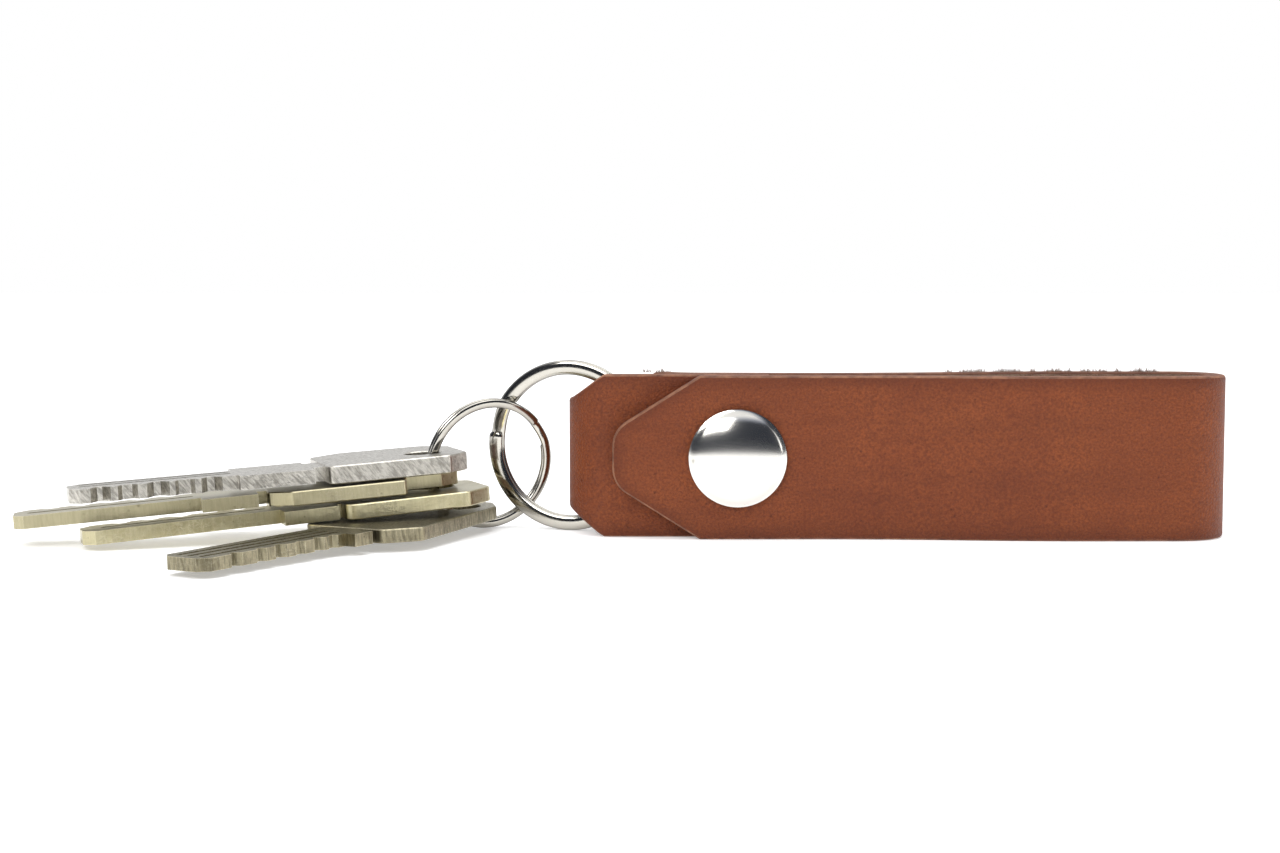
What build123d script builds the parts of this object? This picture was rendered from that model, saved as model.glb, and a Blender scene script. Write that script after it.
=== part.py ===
from build123d import *
import math
import os

os.makedirs("parts", exist_ok=True)

# Frame: +X runs along the strap towards its U-turn, +Y is away from the cap, +Z is up.
# The origin is on the floor, under the axis of the snap and in the middle of the tab.

# Leather strap, standing on its long edge
strap_width = 25.4
leather_thickness = 3.2
layer_gap = 0.1          # air between pressed layers
tab_end_x = 5.0          # hidden end of the tab, just past the snap
flap_tip_x = -19.4
flap_taper_length = 13.6  # from the tip to the full width
flap_tip_radius = 4.6
tip_half_height = 4.2

# Ring fold at the left end
eye_radius = 3.6         # inside radius of the round part of the fold
fold_post_gap = 0.398    # from the post's head to the rise of the fold
eye_slope = 35.0         # degrees, back wall of the fold falling to the tab
eye_blend_radius = 8.0   # where that wall meets the flat back layer
fold_chamfer_length = 5.2
ring_under_gap = 1.6     # under the narrowed fold, above the large ring's wire
fold_narrowing = 3.9     # at the top edge
ring_over_offset = 8.0   # across the large ring, where its inside has to clear the fold's top
back_notch_flat = 2.0    # narrow stretch behind the fold, from the eye's middle
back_notch_end = 7.5     # back at the full width here
back_notch_step = 0.8    # behind the tab

# Belt loop and its U-turn at the right end
bend_outer_radius = 8.0
bend_centre_x = 68.4
bend_centre_y = 0.8
flap_curve_start_x = 12.0
back_curve_start_x = 10.0
loop_straight = 10.9     # flat stretch next to the U-turn

# Snap
cap_radius = 7.65
cap_height = 2.5
cap_rim = 0.8
cap_tube_radius = 1.9
cap_tube_bore = 1.3
socket_radius = 5.0
socket_depth = 1.75
socket_floor = 0.5
socket_lip = 0.3
stud_flange_radius = 4.6
stud_flange = 0.7
stud_nub_radius = 2.7
stud_neck_radius = 2.4
nub_clearance = 0.1      # stud to the bottom of the socket
spring_wire_radius = 0.3
spring_gap_angle = 30.0
post_head_radius = 4.8
post_head = 0.9
post_radius = 1.5
hole_clearance = 0.06
opening_clearance = 0.2  # stud to socket, so that the flap can swing off
cavity_clearance = 0.15

# Split rings, both standing on the floor
large_ring_radius = 13.6
large_wire_radial = 2.3
large_wire_axial = 2.0
large_ring_yaw = -18.5
eye_wire_ahead = 4.907   # from the eye's middle to the large ring's right wire
eye_wire_aside = -1.900
small_ring_radius = 10.6
small_wire_radial = 1.35
small_wire_axial = 1.7
small_ring_yaw = 26.0
lean_reach = 11.68       # the small ring leans by the two wires over this height
small_ring_back = 1.093  # from the large ring's left wire to the small ring's middle
small_ring_aside = -3.100
coil_notch = 0.25
wire_corner = 0.3

# Keys: a stack of flat keys, each tipped down towards its point
key_edge = 0.15
cut_flank = 55.0
wire_key_gap = 0.05      # from the small ring's lowest wire to the lowest key
fourth_thickness = 2.1
third_gap = 1.05         # each gap is to the key below, at the ring
third_thickness = 2.3
second_gap = 0.35
second_thickness = 2.2
first_gap = 0.25
first_thickness = 2.8

half_leather = leather_thickness / 2
layer_pitch = leather_thickness + layer_gap
snap_z = strap_width / 2
flap_y = -layer_pitch
back_y = layer_pitch
flap_front_y = flap_y - half_leather
flap_rear_y = flap_y + half_leather
bend_radius = bend_outer_radius - half_leather
bend_flap_y = bend_centre_y - bend_radius
bend_back_y = bend_centre_y + bend_radius
loop_curve_end_x = bend_centre_x - loop_straight
flap_taper_x = flap_tip_x + flap_taper_length
stud_nub_height = socket_depth - socket_floor + layer_gap - nub_clearance
ring_over = math.sqrt((large_ring_radius - large_wire_radial) ** 2 - ring_over_offset ** 2)
fold_bottom_z = large_wire_radial + ring_under_gap
fold_top_z = min(strap_width - fold_narrowing, large_ring_radius + ring_over)
small_ring_lean = -math.degrees(math.atan((small_wire_axial + large_wire_axial) / 2 / lean_reach))


def save(piece, name):
    piece.part.label = name
    export_step(piece.part, "parts/" + name + ".step")


def snap_disc(y, radius):
    # A round profile on the snap's axis; a negative extrusion grows it towards the back
    with BuildSketch(Plane.XZ.offset(-y)) as disc:
        with Locations((0, snap_z)):
            Circle(radius)
    return disc.sketch


# Strap: tab, ring fold and back layer in one sweep
eye_line = eye_radius + half_leather
slope = math.radians(eye_slope)
turn_angle = math.radians(90 - eye_slope)
blend_length = eye_blend_radius * math.tan(slope / 2)
leave_y = eye_line + eye_line * math.sin(turn_angle)
meet_x = -post_head_radius - fold_post_gap - blend_length
leave_x = meet_x - (leave_y - back_y) / math.tan(slope)
eye_x = leave_x - eye_line * math.cos(turn_angle)
fold_left_x = eye_x - eye_radius - leather_thickness
blend_start = (meet_x - blend_length * math.cos(slope), back_y + blend_length * math.sin(slope))
blend_end = (meet_x + blend_length, back_y)

with BuildPart() as strap_back:
    with BuildLine() as back_path:
        Line((tab_end_x, 0), (eye_x, 0))
        ThreePointArc((eye_x, 0), (eye_x - eye_line, eye_line), (leave_x, leave_y))
        Line((leave_x, leave_y), blend_start)
        TangentArc(blend_start, blend_end, tangent=(math.cos(slope), -math.sin(slope)))
        Line(blend_end, (back_curve_start_x, back_y))
        back_middle = ((back_curve_start_x + loop_curve_end_x) / 2, (back_y + bend_back_y) / 2)
        TangentArc((back_curve_start_x, back_y), back_middle, tangent=(1, 0))
        TangentArc(back_middle, (loop_curve_end_x, bend_back_y), tangent=back_path.wires()[0] % 1)
        Line((loop_curve_end_x, bend_back_y), (bend_centre_x, bend_back_y))
    with BuildSketch(Plane((tab_end_x, 0, snap_z), x_dir=(0, 1, 0), z_dir=(-1, 0, 0))):
        Rectangle(leather_thickness, strap_width)
    sweep(path=back_path.wires()[0].moved(Location((0, 0, snap_z))))
    # The strap narrows where it folds, and stays narrow round the back of the fold
    for level, away, fold_z in ((0, 1, fold_bottom_z), (strap_width, -1, fold_top_z)):
        with BuildSketch(Plane.XZ.offset(layer_pitch)):
            with BuildLine():
                Polyline(
                    (fold_left_x - 1, level - away),
                    (fold_left_x - 1, fold_z),
                    (fold_left_x, fold_z),
                    (fold_left_x + fold_chamfer_length, level),
                    (fold_left_x + fold_chamfer_length, level - away),
                    close=True,
                )
            make_face()
        extrude(amount=-2 * layer_pitch, mode=Mode.SUBTRACT)
        with BuildSketch(Plane.XZ.offset(-half_leather - back_notch_step)):
            with BuildLine():
                Polyline(
                    (fold_left_x - 1, level - away),
                    (fold_left_x - 1, fold_z),
                    (eye_x + back_notch_flat, fold_z),
                    (eye_x + back_notch_end, level),
                    (eye_x + back_notch_end, level - away),
                    close=True,
                )
            make_face()
        extrude(amount=-2 * (eye_line + leather_thickness), mode=Mode.SUBTRACT)
    # Holes for the post, and the stud's seat pressed into the tab
    post_hole = snap_disc(-half_leather - 1, post_radius + hole_clearance)
    extrude(post_hole, amount=-4 * leather_thickness, mode=Mode.SUBTRACT)
    stud_seat = snap_disc(-half_leather - 1, stud_flange_radius + hole_clearance)
    extrude(stud_seat, amount=-(1 + stud_flange), mode=Mode.SUBTRACT)
save(strap_back, "strap_back")

# Strap: the U-turn that joins the back layer to the flap
with BuildPart() as strap_bend:
    with BuildSketch(Plane.XY):
        with Locations((bend_centre_x, bend_centre_y)):
            Circle(bend_outer_radius)
            Circle(bend_outer_radius - leather_thickness, mode=Mode.SUBTRACT)
        with Locations((bend_centre_x - bend_outer_radius, bend_centre_y)):
            Rectangle(2 * bend_outer_radius, 4 * bend_outer_radius, mode=Mode.SUBTRACT)
    extrude(amount=strap_width)
save(strap_bend, "strap_bend")

# Strap: the front flap, with its pointed tip and the socket's seat behind
with BuildPart() as strap_flap:
    with BuildLine() as flap_path:
        Line((flap_tip_x, flap_y), (flap_curve_start_x, flap_y))
        flap_middle = ((flap_curve_start_x + loop_curve_end_x) / 2, (flap_y + bend_flap_y) / 2)
        TangentArc((flap_curve_start_x, flap_y), flap_middle, tangent=(1, 0))
        TangentArc(flap_middle, (loop_curve_end_x, bend_flap_y), tangent=flap_path.wires()[0] % 1)
        Line((loop_curve_end_x, bend_flap_y), (bend_centre_x, bend_flap_y))
    with BuildSketch(Plane((flap_tip_x, flap_y, snap_z), x_dir=(0, 1, 0), z_dir=(1, 0, 0))):
        Rectangle(leather_thickness, strap_width)
    sweep(path=flap_path.wires()[0].moved(Location((0, 0, snap_z))))
    with BuildSketch(Plane.XZ.offset(-flap_rear_y)):
        with BuildLine():
            Polyline(
                (flap_tip_x, snap_z - tip_half_height),
                (flap_taper_x, 0),
                (bend_centre_x, 0),
                (bend_centre_x, strap_width),
                (flap_taper_x, strap_width),
                (flap_tip_x, snap_z + tip_half_height),
                close=True,
            )
        outline = make_face()
        fillet(outline.vertices().group_by(Axis.X)[0], flap_tip_radius)
    extrude(amount=2 * bend_outer_radius, both=True, mode=Mode.INTERSECT)
    tube_hole = snap_disc(flap_front_y - 1, cap_tube_radius + hole_clearance)
    extrude(tube_hole, amount=-(1 + leather_thickness), mode=Mode.SUBTRACT)
    socket_seat = snap_disc(flap_rear_y - socket_depth, socket_radius + hole_clearance)
    extrude(socket_seat, amount=-socket_depth, mode=Mode.SUBTRACT)
save(strap_flap, "strap_flap")

# Snap cap: a thin dome with a curled rim and a tube that goes through the flap
cap_axis = Axis((0, 0, snap_z), (0, 1, 0))
socket_y = flap_rear_y - socket_depth
cap_top_y = flap_front_y - cap_height
cap_rim_y = flap_front_y - cap_rim
cap_shoulder_y = cap_rim_y - (cap_height - cap_rim) * 0.52
with BuildPart() as snap_cap:
    with BuildSketch(Plane.XY.offset(snap_z)):
        with BuildLine():
            ThreePointArc((0, cap_top_y), (cap_radius * 0.72, cap_shoulder_y), (cap_radius, cap_rim_y))
            Polyline(
                (cap_radius, cap_rim_y),
                (cap_radius, flap_front_y),
                (cap_tube_radius, flap_front_y),
                (cap_tube_radius, socket_y + socket_floor),
                (cap_tube_bore, socket_y + socket_floor),
                (cap_tube_bore, cap_rim_y),
                (0, cap_rim_y),
                (0, cap_top_y),
            )
        make_face()
    revolve(axis=cap_axis)
save(snap_cap, "snap_cap")

# Snap socket: a shallow cup behind the flap, riveted onto the cap's tube
spring_line_radius = stud_nub_radius + opening_clearance + spring_wire_radius
cavity_radius = spring_line_radius + spring_wire_radius + cavity_clearance
mouth_radius = stud_nub_radius + opening_clearance
with BuildPart() as snap_socket:
    extrude(snap_disc(socket_y, socket_radius), amount=-socket_depth)
    tube_bore = snap_disc(socket_y, cap_tube_radius + hole_clearance)
    extrude(tube_bore, amount=-socket_floor, mode=Mode.SUBTRACT)
    cavity_depth = socket_depth - socket_floor - socket_lip
    extrude(snap_disc(socket_y + socket_floor, cavity_radius), amount=-cavity_depth, mode=Mode.SUBTRACT)
    extrude(snap_disc(flap_rear_y - socket_lip, mouth_radius), amount=-socket_lip, mode=Mode.SUBTRACT)
save(snap_socket, "snap_socket")

# Snap spring: an open wire ring inside the socket
spring_y = socket_y + socket_floor + cavity_depth / 2
with BuildPart() as snap_spring:
    with BuildSketch(Plane.XY.offset(snap_z)):
        with Locations((spring_line_radius, spring_y)):
            Circle(spring_wire_radius)
    revolve(axis=cap_axis, revolution_arc=360 - spring_gap_angle)
save(snap_spring, "snap_spring")

# Snap stud: a flange pressed into the tab, with a necked nub that the spring grips
stud_seat_y = -half_leather + stud_flange
nub_front_y = -half_leather - stud_nub_height
neck_y = -half_leather - stud_nub_height / 2
with BuildPart() as snap_stud:
    with BuildSketch(Plane.XY.offset(snap_z)):
        with BuildLine():
            Polyline(
                (post_radius, stud_seat_y),
                (stud_flange_radius, stud_seat_y),
                (stud_flange_radius, -half_leather),
                (stud_neck_radius, -half_leather),
                (stud_neck_radius, neck_y),
                (stud_nub_radius, (neck_y + nub_front_y) / 2),
                (stud_neck_radius, nub_front_y),
                (post_radius, nub_front_y),
                close=True,
            )
        make_face()
    revolve(axis=cap_axis)
save(snap_stud, "snap_stud")

# Snap post: flat head on the back layer, shank through both layers into the stud
post_seat_y = back_y + half_leather
with BuildPart() as snap_post:
    extrude(snap_disc(post_seat_y, post_head_radius), amount=-post_head)
    chamfer(snap_post.edges().group_by(Axis.Y)[-1], post_head / 3)
    extrude(snap_disc(nub_front_y, post_radius), amount=-(post_seat_y - nub_front_y))
save(snap_post, "snap_post")


def split_ring(centre_x, centre_y, yaw, lean, radius, radial, axial):
    # Two coils pressed together, marked by a notch round the inside and the outside.
    # The ring stands on the floor, turned by yaw and with its top tipped by lean towards +Y.
    turn = math.radians(yaw)
    tip = math.radians(lean)
    across = Vector(math.cos(turn), math.sin(turn), 0)
    upward = Vector(-math.sin(turn) * math.sin(tip), math.cos(turn) * math.sin(tip), math.cos(tip))
    centre_z = radius * math.cos(tip) + axial / 2 * abs(math.sin(tip))
    centre = Vector(centre_x, centre_y, centre_z)
    with BuildPart() as ring:
        with BuildSketch(Plane(centre, x_dir=across, z_dir=-upward)):
            with Locations((radius - radial / 2, 0)):
                RectangleRounded(radial, axial, wire_corner)
            for notch_x in (radius - radial, radius):
                with Locations((notch_x, 0)):
                    RegularPolygon(coil_notch, 4, mode=Mode.SUBTRACT)
        revolve(axis=Axis(centre, across.cross(upward)))
    return ring


large_line = large_ring_radius - large_wire_radial / 2
large_across_x = large_line * math.cos(math.radians(large_ring_yaw))
large_across_y = large_line * math.sin(math.radians(large_ring_yaw))
large_ring_x = eye_x + eye_wire_ahead - large_across_x
large_ring_y = eye_line + eye_wire_aside - large_across_y
large_ring = split_ring(
    large_ring_x, large_ring_y, large_ring_yaw, 0, large_ring_radius, large_wire_radial, large_wire_axial
)
save(large_ring, "large_split_ring")

small_ring_x = large_ring_x - large_across_x - small_ring_back
small_ring_y = large_ring_y - large_across_y + small_ring_aside
small_ring = split_ring(
    small_ring_x, small_ring_y, small_ring_yaw, small_ring_lean,
    small_ring_radius, small_wire_radial, small_wire_axial,
)
save(small_ring, "small_split_ring")


def wire_point(z):
    # The left side of the small ring's wire at that height
    turn = math.radians(small_ring_yaw)
    tip = math.radians(small_ring_lean)
    line = small_ring_radius - small_wire_radial / 2
    centre_z = small_ring_radius * math.cos(tip) + small_wire_axial / 2 * abs(math.sin(tip))
    rise = (z - centre_z) / math.cos(tip)
    back = math.sqrt(line ** 2 - rise ** 2)
    x = small_ring_x - back * math.cos(turn) - rise * math.sin(turn) * math.sin(tip)
    y = small_ring_y - back * math.sin(turn) + rise * math.cos(turn) * math.sin(tip)
    return x, y


def hole_place(base_z, thickness, along, aside):
    # A key's ring hole goes round the wire, at its own height in the stack
    x, y = wire_point(base_z + thickness / 2)
    return (x + along, y + aside, base_z)


lean = math.radians(small_ring_lean)
fourth_z = small_wire_radial * math.cos(lean) + small_wire_axial * abs(math.sin(lean)) + wire_key_gap
third_z = fourth_z + fourth_thickness + third_gap
second_z = third_z + third_thickness + second_gap
first_z = second_z + second_thickness + first_gap


def flat_key(spec):
    # Outlines are in the key's own plane: x towards the bow from the hole, y away from the toothed edge
    swing = Plane.XY.rotated((0, 0, spec["yaw"]))
    tipped = Plane(spec["hole"], x_dir=swing.x_dir, z_dir=(0, 0, 1)).rotated((0, -spec["pitch"], 0))
    thickness = spec["thickness"]
    blade_step = (thickness - spec["blade_thickness"]) / 2
    with BuildPart() as key:
        with BuildSketch(tipped):
            with BuildLine():
                Polyline(*spec["bow"], close=True)
            bow = make_face()
            fillet(bow.vertices(), spec["bow_corner"])
            Circle(spec["hole_radius"], mode=Mode.SUBTRACT)
        extrude(amount=thickness)
        chamfer(key.faces().filter_by(tipped).edges(), key_edge)
        with BuildSketch(tipped.offset(blade_step)):
            with BuildLine():
                Polyline(*spec["blade"], close=True)
            make_face()
            for x, depth, width in spec["cuts"]:
                with Locations((x, spec["toothed_y"])):
                    Trapezoid(
                        width, depth, cut_flank, rotation=spec["cut_turn"],
                        align=(Align.CENTER, Align.MIN), mode=Mode.SUBTRACT,
                    )
        extrude(amount=spec["blade_thickness"])
        with BuildSketch(tipped.offset(blade_step + spec["blade_thickness"])):
            for y, width in spec["grooves"]:
                with Locations((spec["groove_x"], y)):
                    SlotOverall(spec["groove_length"], width)
        extrude(amount=-spec["groove_depth"], mode=Mode.SUBTRACT)
    return key


key_top = flat_key({
    "hole": hole_place(first_z, first_thickness, -1.24, 0.03), "thickness": first_thickness,
    "yaw": 18.0, "pitch": 3.5, "hole_radius": small_wire_axial / 2 + 2.2,
    "bow": [(2.6, -8), (6.2, -4.4), (6.2, 8.5), (2.5, 13), (-11, 13), (-16.5, 9), (-16.5, -9.2)],
    "bow_corner": 1.2, "blade_thickness": 2.2, "toothed_y": -6.4, "cut_turn": 0,
    "blade": [
        (-15, -5.2), (-18.6, -5.2), (-18.6, -8.2), (-30, -8.2), (-30, -6.4), (-53.5, -6.4), (-55, -4.5),
        (-55, 0.5), (-53, 2.2), (-30, 2.2), (-30, 5.5), (-18.6, 5.5), (-18.6, 3), (-15, 3),
    ],
    "cuts": [(-34, 1.5, 3.2), (-38, 0.9, 3), (-42, 1.7, 3.4), (-46.5, 1.1, 3), (-50.5, 1.6, 3)],
    "grooves": [(-2.4, 0.9), (0.3, 0.9)], "groove_x": -42.0, "groove_length": 23.0, "groove_depth": 0.4,
})
save(key_top, "key_top")

key_second = flat_key({
    "hole": hole_place(second_z, second_thickness, -1.64, -0.15), "thickness": second_thickness,
    "yaw": 13.0, "pitch": 4.6, "hole_radius": small_wire_axial / 2 + 2.35,
    "bow": [
        (-24.5, -8), (-21, -11.2), (-3.4, -11.2), (-3.4, -5.5), (2.5, -5.5), (5.6, -2.5), (5.6, 2.5),
        (2.5, 5.5), (-3.4, 5.5), (-3.4, 11.2), (-21, 11.2), (-24.5, 8),
    ],
    "bow_corner": 1.0, "blade_thickness": 2.0, "toothed_y": 3.6, "cut_turn": 180,
    "blade": [
        (-23.5, -4), (-26, -4), (-26, -8), (-34.5, -8), (-34.5, -5), (-61, -5), (-62.5, -3.5),
        (-62.5, 1.5), (-60.5, 3.6), (-34.5, 3.6), (-34.5, 8), (-26, 8), (-26, 4), (-23.5, 4),
    ],
    "cuts": [(-39, 1.2, 3), (-43.5, 1.8, 3.4), (-48, 1.0, 3), (-52.5, 1.6, 3.2), (-57, 1.0, 3)],
    "grooves": [(-1.2, 1.0)], "groove_x": -48.0, "groove_length": 25.0, "groove_depth": 0.4,
})
save(key_second, "key_second")

key_third = flat_key({
    "hole": hole_place(third_z, third_thickness, -0.05, 0.15), "thickness": third_thickness,
    "yaw": 19.0, "pitch": 4.6, "hole_radius": small_wire_axial / 2 + 2.15,
    "bow": [(-16.8, -12), (2.5, -12), (7, -7.5), (7, 5), (3, 9.5), (-12.5, 9.5), (-16.8, 6)],
    "bow_corner": 2.0, "blade_thickness": 2.1, "toothed_y": 2.2, "cut_turn": 180,
    "blade": [
        (-16, -8), (-17.6, -8), (-17.6, -10.2), (-26, -10.2), (-26, -6.2), (-53.8, -6.2), (-55.5, -4.2),
        (-55.5, 0), (-53.5, 2.2), (-26, 2.2), (-26, 6), (-17.6, 6), (-17.6, 4), (-16, 4),
    ],
    "cuts": [(-31, 1.4, 3), (-35.5, 0.9, 3), (-40, 1.7, 3.4), (-44.5, 1.2, 3), (-49, 1.6, 3)],
    "grooves": [(-2.0, 1.0)], "groove_x": -40.0, "groove_length": 25.0, "groove_depth": 0.4,
})
save(key_third, "key_third")

key_bottom = flat_key({
    "hole": hole_place(fourth_z, fourth_thickness, 0.67, 0.31), "thickness": fourth_thickness,
    "yaw": 56.0, "pitch": 1.35, "hole_radius": small_wire_axial + 2.2,
    "bow": [(3, -5.8), (7, -2), (7, 6.5), (3, 10.5), (-22, 11.5), (-27.5, 7), (-27.5, -8), (-22.5, -11.6)],
    "bow_corner": 1.6, "blade_thickness": 1.9, "toothed_y": -5.0, "cut_turn": 0,
    "blade": [
        (-26, -4.2), (-28.6, -4.2), (-28.6, -7), (-32.5, -7), (-32.5, -5), (-60, -5), (-61.5, -3.5),
        (-61.5, 2), (-60, 3.5), (-28.6, 3.5), (-26, 3.5),
    ],
    "cuts": [(-35, 0.7, 2), (-38, 1.1, 2.2), (-42, 0.6, 2), (-46, 1.2, 2.4), (-50, 0.8, 2), (-55, 1.2, 2.2)],
    "grooves": [(-2.7, 0.8), (-0.6, 0.8), (1.5, 0.8)],
    "groove_x": -45.5, "groove_length": 29.0, "groove_depth": 0.45,
})
save(key_bottom, "key_bottom")
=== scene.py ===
import math
import random

import bmesh
import bpy
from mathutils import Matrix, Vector, noise


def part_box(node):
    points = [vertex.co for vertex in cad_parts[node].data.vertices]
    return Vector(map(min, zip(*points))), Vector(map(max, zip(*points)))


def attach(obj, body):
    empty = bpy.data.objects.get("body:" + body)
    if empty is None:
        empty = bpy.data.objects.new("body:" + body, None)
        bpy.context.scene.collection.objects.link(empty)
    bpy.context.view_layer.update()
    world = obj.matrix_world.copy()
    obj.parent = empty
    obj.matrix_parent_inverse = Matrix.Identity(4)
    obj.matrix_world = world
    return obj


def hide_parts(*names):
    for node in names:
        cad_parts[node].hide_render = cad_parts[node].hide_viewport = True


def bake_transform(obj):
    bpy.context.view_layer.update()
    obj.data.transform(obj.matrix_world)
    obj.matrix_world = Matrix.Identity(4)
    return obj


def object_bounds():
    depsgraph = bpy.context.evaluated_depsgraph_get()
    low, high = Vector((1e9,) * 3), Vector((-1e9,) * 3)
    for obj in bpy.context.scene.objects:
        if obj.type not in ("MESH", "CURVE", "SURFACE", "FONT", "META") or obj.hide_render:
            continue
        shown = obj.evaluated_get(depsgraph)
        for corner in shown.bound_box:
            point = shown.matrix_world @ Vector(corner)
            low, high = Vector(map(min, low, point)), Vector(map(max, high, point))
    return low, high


# Leather belt-loop key fob with two split rings and four keys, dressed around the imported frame
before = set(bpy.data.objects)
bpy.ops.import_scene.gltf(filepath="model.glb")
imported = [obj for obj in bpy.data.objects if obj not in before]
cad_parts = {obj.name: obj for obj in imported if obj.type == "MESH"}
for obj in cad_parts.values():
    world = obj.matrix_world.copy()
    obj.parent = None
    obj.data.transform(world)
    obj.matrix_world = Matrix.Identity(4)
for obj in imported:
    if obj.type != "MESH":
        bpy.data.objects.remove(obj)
cadLow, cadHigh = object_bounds()
mm = 0.001
random.seed(7)
bpy.context.scene.view_settings.view_transform = "Standard"
print("stage: frame loaded, sides", [round(v, 4) for v in cadHigh - cadLow])


# Small helpers
def tone(red, green, blue):  # display colour 0 to 255, as the linear colour that shaders use
    parts = [v / 255 for v in (red, green, blue)]
    return [v / 12.92 if v <= 0.04045 else ((v + 0.055) / 1.055) ** 2.4 for v in parts] + [1.0]


def meshPiece(name, points, faces, materials, faceSlots=None, sharpAngle=40):
    mesh = bpy.data.meshes.new(name)
    mesh.from_pydata(points, [], faces)
    for material in materials:
        mesh.materials.append(material)
    if faceSlots:
        mesh.polygons.foreach_set("material_index", faceSlots)
    piece = bpy.data.objects.new(name, mesh)
    bpy.context.scene.collection.objects.link(piece)
    smoothPiece(piece, sharpAngle)
    return piece


def smoothPiece(piece, sharpAngle):
    work = bmesh.new()
    work.from_mesh(piece.data)
    bmesh.ops.recalc_face_normals(work, faces=work.faces)
    for face in work.faces:
        face.smooth = True
    limit = math.radians(sharpAngle)
    for edge in work.edges:
        edge.smooth = len(edge.link_faces) == 2 and edge.calc_face_angle(0) < limit
    work.to_mesh(piece.data)
    work.free()


def clamp(value):
    return min(1.0, max(0.0, value))


def ease(share):  # a smooth start and end for a share from 0 to 1
    return share * share * (3 - 2 * share)


def storeValue(piece, name, values):
    layer = piece.data.attributes.new(name, "FLOAT", "POINT")
    layer.data.foreach_set("value", values)


# Node helpers
def startGroup(name, inputs, outputs):
    tree = bpy.data.node_groups.new(name, "ShaderNodeTree")
    for label, value in inputs:
        socket = tree.interface.new_socket(label, in_out="INPUT", socket_type="NodeSocketFloat")
        socket.default_value = value
    for label in outputs:
        tree.interface.new_socket(label, in_out="OUTPUT", socket_type="NodeSocketFloat")
    return tree, tree.nodes.new("NodeGroupInput"), tree.nodes.new("NodeGroupOutput")


def plug(tree, source, target):  # source is a number or a socket
    if isinstance(source, (int, float)):
        target.default_value = source
    else:
        tree.links.new(source, target)


def calc(tree, operation, *values):
    node = tree.nodes.new("ShaderNodeMath")
    node.operation = operation
    for value, target in zip(values, node.inputs):
        plug(tree, value, target)
    return node.outputs[0]


def times(tree, value, factor):
    return calc(tree, "MULTIPLY", value, factor)


def remap(tree, value, fromLow, fromHigh, toLow=0.0, toHigh=1.0):
    node = tree.nodes.new("ShaderNodeMapRange")
    for source, target in zip((value, fromLow, fromHigh, toLow, toHigh), node.inputs):
        plug(tree, source, target)
    return node.outputs[0]


def stretched(tree, stretch=(1, 1, 1), turn=(0, 0, 0)):  # object coordinates, squeezed along chosen axes
    place = tree.nodes.new("ShaderNodeTexCoord")
    mapping = tree.nodes.new("ShaderNodeMapping")
    mapping.inputs["Scale"].default_value = stretch
    mapping.inputs["Rotation"].default_value = [math.radians(v) for v in turn]
    tree.links.new(place.outputs["Object"], mapping.inputs["Vector"])
    return mapping.outputs[0]


def noiseField(tree, place, scale, detail=4.0, rough=0.55, warp=0.0):
    node = tree.nodes.new("ShaderNodeTexNoise")
    tree.links.new(place, node.inputs["Vector"])
    plug(tree, scale, node.inputs["Scale"])
    node.inputs["Detail"].default_value = detail
    node.inputs["Roughness"].default_value = rough
    node.inputs["Distortion"].default_value = warp
    return node.outputs["Fac"]


def cells(tree, place, scale, feature="F1"):
    node = tree.nodes.new("ShaderNodeTexVoronoi")
    node.feature = feature
    tree.links.new(place, node.inputs["Vector"])
    plug(tree, scale, node.inputs["Scale"])
    return node.outputs["Distance"]


# Shared effects. A pair of values is the range of the noise or distance that a mask runs over
hideShape = {
    "creaseWidth": 0.22, "creaseHeight": 0.35, "fineScale": 1.6, "fineHeight": 0.7, "speckle": (0.36, 0.64),
    "poreScale": 0.52, "poreSize": (0.06, 0.20), "poreHeight": 0.6, "poreChance": (0.5, 0.62),
    "chanceScale": 0.7, "blotch": (0.3, 0.7), "streak": (0.35, 0.65), "streakScale": 5.0,
    "streakStretch": (0.12, 1, 1), "streakTurn": (0, 18, 0),
}


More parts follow.
